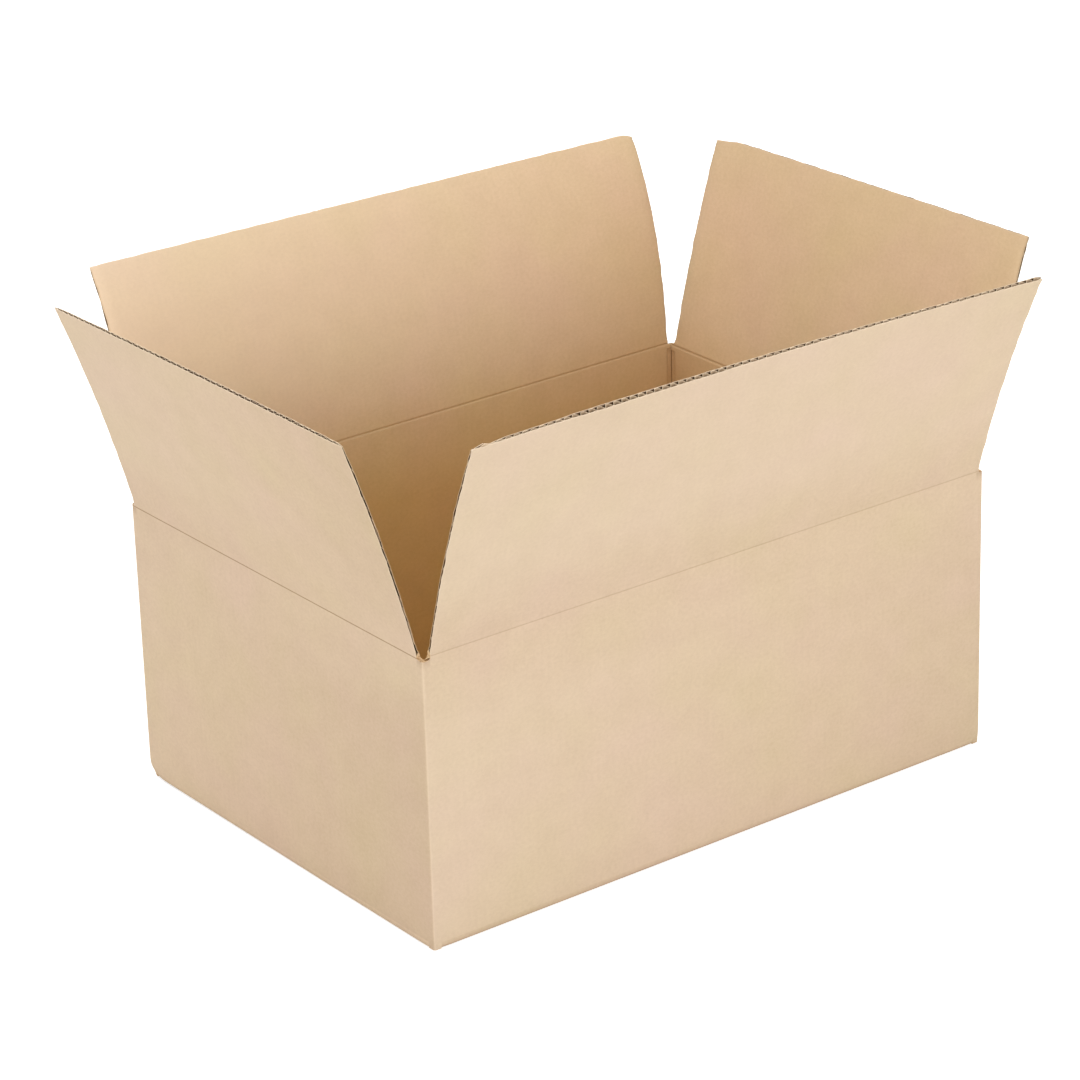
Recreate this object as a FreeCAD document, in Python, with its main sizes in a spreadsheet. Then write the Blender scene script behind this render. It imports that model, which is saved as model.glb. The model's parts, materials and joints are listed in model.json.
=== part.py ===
import FreeCAD, Part
import Sketcher
import os

# Open slotted carton of single-wall corrugated board.
# X runs along the long walls, Y along the short walls, Z is up.
# The origin is the middle of the underside. The front wall faces -Y.

doc = FreeCAD.newDocument("slotted_carton")
sizes = doc.addObject("Spreadsheet::Sheet", "sizes")

DRIVING_SIZES = {
    # outside of the standing walls, and the height of the long walls' top score
    "length": 575,
    "width": 410,
    "wall_height": 251,
    # single-wall board: two flat liners glued to a waved medium
    "board": 4,
    "liner": 0.4,
    "medium": 0.45,
    "flute_pitch": 7.8,
    # flaps, measured from their score to the cut edge
    "top_flap": 198,
    "bottom_seam": 1,
    # half slots, measured from the ideal corner along each wall
    "slot_half": 7.5,
    "slot_half_tight": 5.4,
    "slot_clearance": 0.5,
    # folds
    "corner_radius": 5,
    "inner_radius": 1,
    "long_fold_radius": 3.5,
    "short_fold_radius": 2.5,
    "fold_gap": 0.3,
    "lap_gap": 0.4,
    # manufacturer's joint, glued inside the back wall beside the left corner
    "tab_width": 35,
    "tab_bevel": 12,
    "joint_gap": 1.2,
    "joint_depth": 1.5,
    # how far the open flaps of the long and short walls lean outwards from upright
    "long_lean_degrees": 17.7,
    "short_lean_degrees": 17.7,
}
for row, (alias, value) in enumerate(DRIVING_SIZES.items(), start=1):
    sizes.set(f"A{row}", alias)
    sizes.set(f"B{row}", str(value))
    sizes.setAlias(f"B{row}", alias)
doc.recompute()

# The short walls' scores lie one board and a lap gap lower, so their flaps close under the long ones.
SHORT_SCORE = "(sizes.wall_height - sizes.board - sizes.lap_gap)"
WALL_TOP = "(sizes.wall_height - sizes.fold_gap)"
BOTTOM_FLAP = "((sizes.width - sizes.bottom_seam) / 2)"
HALF_LENGTH = "(sizes.length / 2)"
HALF_WIDTH = "(sizes.width / 2)"


def origin_plane(body, role):
    for feature in body.Origin.OriginFeatures:
        if feature.Role == role:
            return feature
    raise ValueError(f"{body.Label} has no {role}")


def new_body(label):
    body = doc.addObject("PartDesign::Body", label)
    body.Label = label
    return body


def outline_sketch(body, name, role, outlines, offset="0"):
    """Sketch of closed outlines on an origin plane; each corner is a pair of expressions."""
    sketch = body.newObject("Sketcher::SketchObject", name)
    sketch.AttachmentSupport = [(origin_plane(body, role), "")]
    sketch.MapMode = "FlatFace"
    sketch.setExpression("AttachmentOffset.Base.z", offset)
    for corners in outlines:
        points = [FreeCAD.Vector(sketch.evalExpression(x), sketch.evalExpression(y), 0) for x, y in corners]
        first = sketch.GeometryCount
        for index, point in enumerate(points):
            following = points[(index + 1) % len(points)]
            sketch.addGeometry(Part.LineSegment(point, following), False)
        for index, (x, y) in enumerate(corners):
            line = first + index
            before = first + (index - 1) % len(corners)
            sketch.addConstraint(Sketcher.Constraint("Coincident", before, 2, line, 1))
            place = points[index]
            for kind, expression, value in (("DistanceX", x, place.x), ("DistanceY", y, place.y)):
                number = sketch.addConstraint(Sketcher.Constraint(kind, -1, 1, line, 1, value))
                sketch.setExpression(f"Constraints[{number}]", expression)
    doc.recompute()
    return sketch


def rectangle(low_x, high_x, low_y, high_y):
    return [(low_x, low_y), (high_x, low_y), (high_x, high_y), (low_x, high_y)]


def pad(body, sketch, name, length):
    feature = body.newObject("PartDesign::Pad", name)
    feature.Profile = sketch
    feature.setExpression("Length", length)
    doc.recompute()
    return feature


def pocket(body, sketch, name, length):
    """Cut a sketch's outlines out along the sketch's normal, and check that material went."""
    before = body.Shape.Volume
    feature = body.newObject("PartDesign::Pocket", name)
    feature.Profile = sketch
    feature.Reversed = True
    feature.setExpression("Length", length)
    doc.recompute()
    if not body.Shape.Volume < before:
        raise ValueError(f"{body.Label}: {name} removes nothing")
    return feature


def fillet(body, name, radius, chosen):
    """Round the straight edges of the body's present shape that the test picks out."""
    base = body.Tip
    edges = [f"Edge{number}" for number, edge in enumerate(base.Shape.Edges, start=1)
             if len(edge.Vertexes) == 2 and chosen(edge)]
    feature = body.newObject("PartDesign::Fillet", name)
    feature.Base = (base, edges)
    feature.setExpression("Radius", radius)
    doc.recompute()
    return feature


def upright(edge):
    """True where one end of the edge stands straight above the other."""
    run = edge.Vertexes[1].Point - edge.Vertexes[0].Point
    return abs(run.z) > 0.999 * run.Length


def lies_at(edge, axis, place):
    """True where both ends of the edge have the given distance from the middle along one axis."""
    return all(abs(abs(getattr(vertex.Point, axis)) - place) < 1e-4 for vertex in edge.Vertexes)


def make_carton_body():
    """Four walls, the closed bottom and the glued corner joint, folded and glued from one sheet."""
    body = new_body("carton_body")
    plan = outline_sketch(body, "wall_plan", "XY_Plane", [
        rectangle(f"-{HALF_LENGTH}", HALF_LENGTH, f"-{HALF_WIDTH}", HALF_WIDTH)])
    pad(body, plan, "walls", WALL_TOP)
    fillet(body, "outer_corners", "sizes.corner_radius", upright)

    # inside of the carton, down to the lapped short bottom flaps
    inner_x = f"({HALF_LENGTH} - sizes.board)"
    inner_y = f"({HALF_WIDTH} - sizes.board)"
    inside = outline_sketch(body, "inside_plan", "XY_Plane", [
        rectangle(f"-{inner_x}", inner_x, f"-{inner_y}", inner_y)], "2 * sizes.board")
    pocket(body, inside, "inside", "sizes.wall_height")
    half_x = sizes.length / 2 - sizes.board
    fillet(body, "inner_corners", "sizes.inner_radius",
           lambda edge: upright(edge) and lies_at(edge, "x", half_x))

    # the long bottom flaps show between and beside the short ones
    bay = f"({HALF_LENGTH} - {BOTTOM_FLAP})"
    side = f"({HALF_WIDTH} - sizes.slot_half)"
    between = outline_sketch(body, "floor_bay_plan", "XY_Plane", [[
        (f"-{inner_x}", f"-{inner_y}"), (inner_x, f"-{inner_y}"), (inner_x, f"-{side}"), (bay, f"-{side}"),
        (bay, side), (inner_x, side), (inner_x, inner_y), (f"-{inner_x}", inner_y),
        (f"-{inner_x}", side), (f"-{bay}", side), (f"-{bay}", f"-{side}"), (f"-{inner_x}", f"-{side}")]],
        "sizes.board")
    pocket(body, between, "floor_bay", "sizes.board")
    seam = outline_sketch(body, "seam_plan", "XY_Plane", [
        rectangle(f"-{HALF_LENGTH}", HALF_LENGTH, "-sizes.bottom_seam / 2", "sizes.bottom_seam / 2")])
    pocket(body, seam, "seam", "sizes.board")

    # the long bottom flaps stop a half slot short of the short walls, which fold in above them
    flap_end = f"({HALF_LENGTH} - sizes.slot_half)"
    ends = outline_sketch(body, "flap_end_plan", "XY_Plane", [
        rectangle(flap_end, HALF_LENGTH, f"-{inner_y}", inner_y),
        rectangle(f"-{HALF_LENGTH}", f"-{flap_end}", f"-{inner_y}", inner_y)])
    pocket(body, ends, "flap_ends", "sizes.board")
    half_width = sizes.width / 2
    half_length = sizes.length / 2
    fillet(body, "long_bottom_folds", "sizes.long_fold_radius",
           lambda edge: lies_at(edge, "y", half_width) and lies_at(edge, "z", 0))
    fillet(body, "short_bottom_folds", "sizes.short_fold_radius",
           lambda edge: lies_at(edge, "x", half_length) and lies_at(edge, "z", sizes.board))

    add_top_scores(body)
    add_corner_joint(body)
    return body


def add_top_scores(body):
    """Mitre the tops of the walls, so that each flap turns about the outer edge of its wall."""
    drop = "(sizes.board + sizes.lap_gap)"
    scores = (
        ("front", "YZ_Plane", "-1", HALF_WIDTH, "0", "sizes.slot_half", "sizes.slot_half_tight", HALF_LENGTH),
        ("back", "YZ_Plane", "1", HALF_WIDTH, "0", "sizes.slot_half", "sizes.slot_half", HALF_LENGTH),
        ("left", "XZ_Plane", "-1", HALF_LENGTH, drop, "sizes.slot_half", "sizes.slot_half_tight", HALF_WIDTH),
        ("right", "XZ_Plane", "1", HALF_LENGTH, drop, "sizes.slot_half", "sizes.slot_half", HALF_WIDTH),
    )
    for wall, role, side, out, lower, low_slot, high_slot, half in scores:
        low_end = f"({half} - {low_slot} + sizes.slot_clearance)"
        high_end = f"({half} - {high_slot} + sizes.slot_clearance)"
        outer = f"{side} * {out}"
        inner = f"{side} * ({out} - sizes.board)"
        top = f"({WALL_TOP} - {lower})"
        profile = [(outer, top), (inner, f"{top} - sizes.board"), (inner, "sizes.wall_height"),
                   (outer, "sizes.wall_height")]
        # the vertical planes' normals point along +X and -Y
        along = f"-{low_end}" if role == "YZ_Plane" else f"-{high_end}"
        sketch = outline_sketch(body, f"{wall}_score_profile", role, [profile], along)
        pocket(body, sketch, f"{wall}_score", f"{low_end} + {high_end}")


def add_corner_joint(body):
    """Tab of the left wall glued inside the back wall, and the cut edge of the back wall outside."""
    wall_face = f"({HALF_WIDTH} - sizes.board)"
    left_face = f"(-{HALF_LENGTH} + sizes.board)"
    tab_top = f"({SHORT_SCORE} - 2 * sizes.board)"
    tab = outline_sketch(body, "tab_profile", "XZ_Plane", [[
        (left_face, "2 * sizes.board"),
        (f"{left_face} + sizes.tab_width", "2 * sizes.board + sizes.tab_bevel"),
        (f"{left_face} + sizes.tab_width", f"{tab_top} - sizes.tab_bevel"),
        (left_face, tab_top)]], f"-{wall_face}")
    pad(body, tab, "glue_tab", "sizes.board")
    cut_edge = f"(-{HALF_LENGTH} + sizes.corner_radius)"
    joint_floor = f"({HALF_WIDTH} - sizes.joint_depth)"
    groove = outline_sketch(body, "joint_plan", "XY_Plane", [
        rectangle(cut_edge, f"{cut_edge} + sizes.joint_gap", joint_floor, HALF_WIDTH)])
    pocket(body, groove, "joint_edge", "sizes.wall_height")


def make_flap(label, wall_half, low_slot, high_slot):
    """Flap of fluted board, modelled upright with its outer face on Y = 0 and its score on Z = 0."""
    body = new_body(label)
    low = f"(-{wall_half} + {low_slot})"
    high = f"({wall_half} - {high_slot})"
    sheet = outline_sketch(body, f"{label}_section", "XY_Plane", [rectangle(low, high, "0", "sizes.board")])
    pad(body, sheet, f"{label}_board", "sizes.top_flap")

    # the foot is mitred to match its wall, from the outer edge inwards and up
    foot = outline_sketch(body, f"{label}_foot_profile", "YZ_Plane", [[
        ("0", "0"), ("sizes.board", "0"), ("sizes.board", "sizes.fold_gap + sizes.board"),
        ("0", "sizes.fold_gap")]], low)
    pocket(body, foot, f"{label}_foot", f"{high} - {low}")

    # one wave of the medium leaves a void under each liner; the waves are centred on the flap
    count = f"floor(({high} - {low} - sizes.flute_pitch / 2) / sizes.flute_pitch)"
    start = f"(({high} + {low} - ({count} + 1 / 2) * sizes.flute_pitch) / 2)"
    near = "sizes.liner"
    far = "(sizes.board - sizes.liner)"
    outer_void = [(f"{start} + sizes.medium", near), (f"{start} + sizes.flute_pitch - sizes.medium", near),
                  (f"{start} + sizes.flute_pitch / 2", f"{far} - sizes.medium")]
    inner_void = [(f"{start} + sizes.flute_pitch / 2 + sizes.medium", far),
                  (f"{start} + sizes.flute_pitch", f"{near} + sizes.medium"),
                  (f"{start} + 3 * sizes.flute_pitch / 2 - sizes.medium", far)]
    voids = outline_sketch(body, f"{label}_flute_section", "XY_Plane", [outer_void, inner_void])
    flute = pocket(body, voids, f"{label}_flute", "sizes.top_flap")
    waves = body.newObject("PartDesign::LinearPattern", f"{label}_flutes")
    waves.Originals = [flute]
    waves.Direction = (sheet, ["H_Axis"])
    waves.Mode = "Spacing"
    waves.setExpression("Offset", "sizes.flute_pitch")
    waves.setExpression("Occurrences", count)
    body.Tip = waves
    doc.recompute()
    return body


def place_flap(body, out_x, out_y, turn, score, lean):
    """Stand the flap on its score, turned to face outwards and leaning out by its angle."""
    height = sizes.evalExpression(score)
    spin = FreeCAD.Rotation(FreeCAD.Vector(0, 0, 1), turn)
    tilt = FreeCAD.Rotation(FreeCAD.Vector(1, 0, 0), lean)
    body.Placement = FreeCAD.Placement(FreeCAD.Vector(out_x, out_y, height), spin * tilt)


carton_body = make_carton_body()
flap_front = make_flap("flap_front", HALF_LENGTH, "sizes.slot_half", "sizes.slot_half_tight")
flap_back = make_flap("flap_back", HALF_LENGTH, "sizes.slot_half", "sizes.slot_half")
flap_left = make_flap("flap_left", HALF_WIDTH, "sizes.slot_half_tight", "sizes.slot_half")
flap_right = make_flap("flap_right", HALF_WIDTH, "sizes.slot_half", "sizes.slot_half")

place_flap(flap_front, 0, -sizes.width / 2, 0, "sizes.wall_height", sizes.long_lean_degrees)
place_flap(flap_back, 0, sizes.width / 2, 180, "sizes.wall_height", sizes.long_lean_degrees)
place_flap(flap_left, -sizes.length / 2, 0, -90, SHORT_SCORE, sizes.short_lean_degrees)
place_flap(flap_right, sizes.length / 2, 0, 90, SHORT_SCORE, sizes.short_lean_degrees)
doc.recompute()

for item in doc.Objects:
    if "Invalid" in item.State or "Error" in item.State:
        raise ValueError(f"{item.Label} failed: {item.State}")

os.makedirs("parts", exist_ok=True)
for body in (carton_body, flap_front, flap_back, flap_left, flap_right):
    shape = body.Shape
    if shape.isNull() or not shape.isValid() or len(shape.Solids) != 1:
        raise ValueError(f"{body.Label} is not one valid solid")
    shape.exportStep(f"parts/{body.Label}.step")
    print(body.Label, round(shape.Volume), "mm3")
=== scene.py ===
import json
import math

import bpy
import numpy as np
from bpy.props import FloatProperty, FloatVectorProperty, PointerProperty
from mathutils import Matrix, Vector


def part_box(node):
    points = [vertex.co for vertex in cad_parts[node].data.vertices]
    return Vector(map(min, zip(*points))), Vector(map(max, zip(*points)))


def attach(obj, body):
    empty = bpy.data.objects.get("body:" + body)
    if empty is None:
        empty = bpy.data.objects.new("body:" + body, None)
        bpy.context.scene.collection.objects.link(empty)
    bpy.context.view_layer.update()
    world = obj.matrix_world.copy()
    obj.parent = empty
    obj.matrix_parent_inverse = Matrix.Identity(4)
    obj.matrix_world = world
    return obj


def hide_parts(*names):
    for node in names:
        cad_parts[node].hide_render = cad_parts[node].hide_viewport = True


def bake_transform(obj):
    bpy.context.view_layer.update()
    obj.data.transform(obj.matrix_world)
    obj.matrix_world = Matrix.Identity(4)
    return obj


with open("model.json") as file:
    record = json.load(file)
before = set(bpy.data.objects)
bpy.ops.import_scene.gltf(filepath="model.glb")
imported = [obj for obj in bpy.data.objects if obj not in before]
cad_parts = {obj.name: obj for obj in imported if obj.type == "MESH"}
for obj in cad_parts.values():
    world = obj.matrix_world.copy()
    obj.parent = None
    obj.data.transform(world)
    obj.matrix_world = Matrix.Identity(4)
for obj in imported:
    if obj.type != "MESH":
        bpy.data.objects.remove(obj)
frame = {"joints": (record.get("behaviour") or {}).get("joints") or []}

bl_info = {
    "name": "Open slotted carton",
    "version": (1, 0, 0),
    "blender": (4, 5, 0),
    "location": "3D View > Sidebar > Carton",
    "description": "Corrugated carton with four open top flaps, built sheet by sheet round its CAD frame",
    "category": "Add Mesh",
}

MM = 0.001
_, BODY_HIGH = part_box("carton_body")
JOINTS = {joint["name"]: joint for joint in frame["joints"]}

# Each side: its joint, the direction along the wall, the outward direction, the turn number of the wall on
# the flat sheet, and its seed. Along, up and outward make a right-handed set on every side.
SIDES = {
    "left": {"joint": "left_flap_fold", "along": (0, -1, 0), "out": (-1, 0, 0), "turn": -1, "seed": 10},
    "front": {"joint": "front_flap_fold", "along": (1, 0, 0), "out": (0, -1, 0), "turn": 0, "seed": 20},
    "right": {"joint": "right_flap_fold", "along": (0, 1, 0), "out": (1, 0, 0), "turn": 1, "seed": 30},
    "back": {"joint": "back_flap_fold", "along": (-1, 0, 0), "out": (0, 1, 0), "turn": 2, "seed": 40},
}
# Distance along the flat sheet between the middles of two neighbouring walls.
WALL_STEP = BODY_HIGH.x + BODY_HIGH.y

# The finishes are numbers of the papers.
# The fourth finish is kraft darkened as painted shade, for faces inside the flutes and the liners' hidden
# faces.
OUTER, INNER, CUT, SHADED_PAPER = 0, 1, 2, 3
PAPERS = ("kraft_outside", "kraft_inside", "kraft_cut", "kraft_flute")
# Distance from a top score, outside and inside, at which the wall ends below it and the flap starts above it.
WALL_TOP = (-1 * MM, -4 * MM)
FLAP_FOOT = (1.5 * MM, 4 * MM)
# Distance from a top score, down and up, over which the outer face turns to the flap's lean.
SCORE_BEND = 1.5 * MM
# Radius of the inner face at an upright fold, and the length over which the wall is drawn in to it.
INNER_RADIUS = 0.2 * MM
DRAW_LENGTH = 8 * MM
# Depth of the slots' floors below the long walls' scores, and of the near slot's floor.
SLOT_DEPTH = 1.5 * MM
NEAR_SLOT_DEPTH = 3.5 * MM
# Height at which the walls end and the bottom folds begin.
BOTTOM_START = 6 * MM
# Points and weights of the integrals that give a flap its curve.
GAUSS_AT, GAUSS_SHARE = np.polynomial.legendre.leggauss(12)


def length_property(name, description, default, low, high, precision=4):
    """Length with its limits, from millimetres."""
    return FloatProperty(
        name=name, description=description, default=default * MM, min=low * MM, max=high * MM,
        unit="LENGTH", precision=precision)


def lean_property(side, degrees):
    """Lean of a flap at its foot, from degrees at its low end, middle and high end."""
    return FloatVectorProperty(
        name=f"{side} lean", description="Lean at the foot: low end, middle, high end",
        size=3, default=[math.radians(a) for a in degrees], unit="ROTATION")


def bow_property(side, degrees):
    """Even bend of a flap, from degrees at its low end, middle and high end."""
    return FloatVectorProperty(
        name=f"{side} bow", description="Even bend up to the free edge: low end, middle, high end",
        size=3, default=[math.radians(a) for a in degrees], unit="ROTATION")


def curl_property(side, degrees):
    """Bend of a flap that grows with the square of the distance from the score, from degrees."""
    return FloatProperty(
        name=f"{side} curl", description="Bend that grows towards the free edge",
        default=math.radians(degrees), unit="ROTATION")


def colour_property(name, description, colour):
    """Colour of a paper."""
    return FloatVectorProperty(
        name=name, description=description, size=3, subtype="COLOR", default=colour, min=0, max=1)


def power_property(name, description, power):
    """Power of a light in watts."""
    return FloatProperty(name=name, description=description, default=power, min=0, max=1000, unit="POWER")


class CARTON_PG_board(bpy.types.PropertyGroup):
    """Sizes of the corrugated board and of the folded sheet."""

    caliper: length_property("Board thickness", "Thickness of the single-wall board", 4, 2, 8)
    liner: length_property("Liner", "Thickness of each flat liner", 0.4, 0.1, 1, precision=5)
    medium: length_property(
        "Medium", "Thickness of the waved sheet between the liners", 0.4, 0.1, 1, precision=5)
    pitch: length_property("Flute pitch", "Distance from one flute to the next", 7.8, 3, 12)
    corner_radius: length_property("Corner radius", "Outer radius of the four upright folds", 2.4, 1, 5)
    slot_half: length_property(
        "Half slot", "Distance from the ideal corner to a flap's side edge", 7.5, 6, 15)
    slot_half_tight: length_property(
        "Tight half slot", "The same distance at the two slots that were cut off centre", 5.4, 5.1, 15)
    slot_round: length_property(
        "Slot rounding", "Height over which a slot's floor curves up into its sides", 4, 1, 8)
    crease_rise: length_property(
        "Short crease rise", "How far the short walls' creases show above their hinges", 2, 0, 4)
    top_flap: length_property("Top flap", "Length of the top flaps from score to cut edge", 198, 50, 300)
    seam: length_property("Bottom seam", "Gap between the two long bottom flaps", 1, 0.2, 6)
    tab_width: length_property("Glue tab", "Width of the tab glued inside the back wall", 35, 20, 50)


class CARTON_PG_flaps(bpy.types.PropertyGroup):
    """How far the open flaps lean outwards at their foot, and how they bend from there to the free edge."""

    front_lean: lean_property("Front", (14.3, 14.3, 16.3))
    front_bow: bow_property("Front", (9.9, 9.1, 9.4))
    front_curl: curl_property("Front", -0.3)
    back_lean: lean_property("Back", (2.2, 3.9, 4.3))
    back_bow: bow_property("Back", (16.7, 16.3, 15.8))
    back_curl: curl_property("Back", 11.3)
    left_lean: lean_property("Left", (14.3, 14.1, 14.4))
    left_bow: bow_property("Left", (7.7, 6.9, 6.4))
    left_curl: curl_property("Left", 0.3)
    right_lean: lean_property("Right", (12.5, 13.2, 12.3))
    right_bow: bow_property("Right", (7.9, 8.2, 7.8))
    right_curl: curl_property("Right", -1.0)


class CARTON_PG_paper(bpy.types.PropertyGroup):
    """Colours of the papers."""

    outer: colour_property("Outer liner", "Kraft paper on the outside", (0.717, 0.561, 0.411))
    inner: colour_property("Inner liner", "Kraft paper on the inside", (0.727, 0.541, 0.355))
    # Painted shade: the inner liner is darkened and browned low down in the carton, where little light
    # reaches.
    inner_low_shade: colour_property(
        "Inner liner low down", "What the inner liner is multiplied by at the bottom", (0.91, 0.83, 0.57))
    cut: colour_property("Cut edges", "Freshly cut paper", (0.80, 0.64, 0.45))
    # Painted shade: kraft darkened for the shaded side of the waved sheet and the liners' hidden faces.
    flute: colour_property(
        "Flutes", "Shaded side of the waved sheet, and hidden faces of the liners", (0.22, 0.12, 0.055))
    mottle: FloatProperty(
        name="Mottle", description="Strength of the cloudy patches in the paper",
        default=1.0, min=0, max=1, subtype="FACTOR")


class CARTON_PG_stage(bpy.types.PropertyGroup):
    """Floor and lights of the studio."""

    sky: FloatProperty(
        name="Even light", description="Strength of the even light from all round",
        default=0.24, min=0, max=3)
    key: power_property("Key light", "Power of the soft light from the front right", 33)
    front: power_property("Front light", "Power of the soft light from the front", 34.5)
    left: power_property("Left light", "Power of the soft light from the left", 41.5)
    back: power_property("Back light", "Power of the soft light from behind on the right", 30)
    top: power_property("Top light", "Power of the soft light from above", 43)


def board():
    """Sizes of the board and of the folded sheet, as the panel holds them."""
    return bpy.context.scene.carton_board


def half_of(side):
    """Half the length of a side's wall, and half the distance between it and the opposite wall."""
    if side in ("front", "back"):
        return BODY_HIGH.x, BODY_HIGH.y
    return BODY_HIGH.y, BODY_HIGH.x


def axes_of(side):
    """Unit vectors along a side's wall and outwards from it."""
    return np.array(SIDES[side]["along"], float), np.array(SIDES[side]["out"], float)


def score_of(side):
    """Height of a side's top crease: its hinge, and on the short walls a little above it."""
    rise = board().crease_rise if side in ("left", "right") else 0
    return JOINTS[SIDES[side]["joint"]]["pos_m"][2] + rise


def sheet_start(side):
    """Place of the middle of a side's wall along the flat sheet."""
    return SIDES[side]["turn"] * WALL_STEP


def smooth_step(t):
    """3 t^2 - 2 t^3 between 0 and 1, and flat outside."""
    t = np.clip(t, 0, 1)
    return t * t * (3 - 2 * t)


def ragged(x, size, wave, seed):
    """Even-handed irregular line: eight sines of x whose waves run from a quarter of wave to twice it."""
    chance = np.random.default_rng(seed)
    waves = wave * np.exp(chance.uniform(np.log(0.25), np.log(2), 8))
    phases = chance.uniform(0, 2 * np.pi, 8)
    total = np.sin(2 * np.pi * x[..., None] / waves + phases) * waves ** 0.5
    return size * total.sum(-1) / np.sqrt((waves / 2).sum())


def bump_at(x, centre, width):
    """Bell curve of x with height 1."""
    return np.exp(-((x - centre) / width) ** 2)


def skin_quads(rows, columns, first):
    """Faces of a grid of points numbered row by row from first."""
    corner = first + np.arange((rows - 1) * columns).reshape(rows - 1, columns)[:, :-1].ravel()
    return np.stack([corner, corner + columns, corner + columns + 1, corner + 1], 1)


def slab(outer, inner, outer_sheet, inner_sheet, finishes=(OUTER, INNER, CUT), creases=(0, 0)):
    """Closed solid between two grids of points: both skins, and a rim of faces from border to border.

    outer and inner hold a point for each step along the sheet and each step up it; the sheets hold the
    flat place of the same points. finishes are the paper of the outer skin, the inner skin and the rim,
    and creases say how far the paper of each skin is darkened, from 0 to 1, by creasing or painted shade,
    or paled, down to -1, by wear or painted light.
    """
    rows, columns = outer.shape[:2]
    count = rows * columns
    index = np.arange(count).reshape(rows, columns)
    border = np.concatenate([index[:, 0], index[-1, 1:], index[-2::-1, -1], index[0, -2:0:-1]])
    following = np.roll(border, -1)
    rim = np.stack([following, border, border + count, following + count], 1)
    front = skin_quads(rows, columns, 0)
    back = skin_quads(rows, columns, count)[:, ::-1]
    points = np.concatenate([outer.reshape(-1, 3), inner.reshape(-1, 3)])
    quads = np.concatenate([front, back, rim])
    a, b, c, d = (points[quads[:, k]] for k in range(4))
    volume = (np.cross(b - a, c - a) * a).sum() + (np.cross(c - a, d - a) * a).sum()
    if volume < 0:
        quads = quads[:, ::-1]
    numbers = [len(front), len(back), len(rim)]
    edge = np.stack([border, following], 1)
    return {
        "points": points,
        "sheet": np.concatenate([outer_sheet.reshape(-1, 3), inner_sheet.reshape(-1, 3)]),
        "quads": quads,
        "finish": np.repeat(finishes, numbers),
        "smooth": np.repeat([True, True, False], numbers),
        "crease": np.concatenate([(crease + np.zeros((rows, columns))).ravel() for crease in creases]),
        "sharp": np.concatenate([edge, edge + count]),
    }


def new_piece(name, slabs):
    """Object at the origin made of closed slabs, with its papers, its creases and its place on the sheet.

    The borders between skin and rim are sharp, so that each skin is shaded as a smooth sheet to its end.
    Its crease attribute holds the creases, the worn edges and painted light and shade.
    """
    shifts = np.cumsum([0] + [len(part["points"]) for part in slabs[:-1]])
    quads = np.concatenate([part["quads"] + shift for part, shift in zip(slabs, shifts)])
    sharp = np.sort(np.concatenate([part["sharp"] + shift for part, shift in zip(slabs, shifts)]), 1)
    points = np.concatenate([part["points"] for part in slabs])
    mesh = bpy.data.meshes.new(name)
    mesh.from_pydata(points.tolist(), [], quads.tolist())
    mesh.polygons.foreach_set("material_index", np.concatenate([part["finish"] for part in slabs]))
    mesh.polygons.foreach_set("use_smooth", np.concatenate([part["smooth"] for part in slabs]))
    ends = np.empty(2 * len(mesh.edges), int)
    mesh.edges.foreach_get("vertices", ends)
    ends = np.sort(ends.reshape(-1, 2), 1)
    keys = ends[:, 0] * len(points) + ends[:, 1]
    mesh.edges.foreach_set("use_edge_sharp", np.isin(keys, sharp[:, 0] * len(points) + sharp[:, 1]))
    sheet = mesh.attributes.new("sheet", "FLOAT_VECTOR", "POINT")
    sheet.data.foreach_set("vector", np.concatenate([part["sheet"] for part in slabs]).ravel())
    # The crease attribute holds the creases, the worn edges and painted light and shade.
    crease = mesh.attributes.new("crease", "FLOAT", "POINT")
    crease.data.foreach_set("value", np.concatenate([part["crease"] for part in slabs]))
    for paper in PAPERS:
        mesh.materials.append(bpy.data.materials[paper])
    if mesh.validate():
        raise RuntimeError(f"{name} has faulty faces")
    mesh.update()
    piece = bpy.data.objects.new(name, mesh)
    bpy.context.scene.collection.objects.link(piece)
    return piece


def in_space(side, sideways, outwards, height):
    """Points from the distances along a side's wall and out from the carton's middle, and the height."""
    along, out = axes_of(side)
    points = sideways[..., None] * along + outwards[..., None] * out
    points[..., 2] = height
    return points


def wall_points(side, along_place, height, depth):
    """Standing wall: straight, and turned through an eighth of a circle at either end.

    The arc at a depth has a radius between the corner radius outside and INNER_RADIUS inside, round a centre
    as far in from both walls as depth + radius. The straight part is drawn in to the arc over DRAW_LENGTH.
    """
    half, other = half_of(side)
    outer_radius = board().corner_radius
    share = np.clip(depth / board().caliper, 0, 1)
    radius = outer_radius * (1 - share) + INNER_RADIUS * share
    gap = half - np.abs(along_place)
    turn = np.clip((outer_radius - gap) / outer_radius, 0, 1) * np.pi / 4
    drawn_in = (depth + radius - outer_radius) * (1 - smooth_step((gap - outer_radius) / DRAW_LENGTH))
    straight = np.minimum(np.abs(along_place), half - outer_radius) - drawn_in
    sideways = np.sign(along_place) * (straight + radius * np.sin(turn))
    outwards = other - depth - radius + radius * np.cos(turn)
    return in_space(side, sideways, outwards, height)


def half_slot_of(side, end):
    """Half the width of the slot at an end, -1 or 1, of a side: tight at two of the eight."""
    sizes = board()
    tight_end = {"front": 1, "left": -1}.get(side, 0)
    return np.where(end == tight_end, sizes.slot_half_tight, sizes.slot_half)


def slot_floor_low(side, end):
    """Height of the lowest point of the slot's floor: the near slot is cut deeper than the others."""
    near = (side == "front") & (end < 0) | (side == "left") & (end > 0)
    return score_of("front") - np.where(near, NEAR_SLOT_DEPTH, SLOT_DEPTH)


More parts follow.
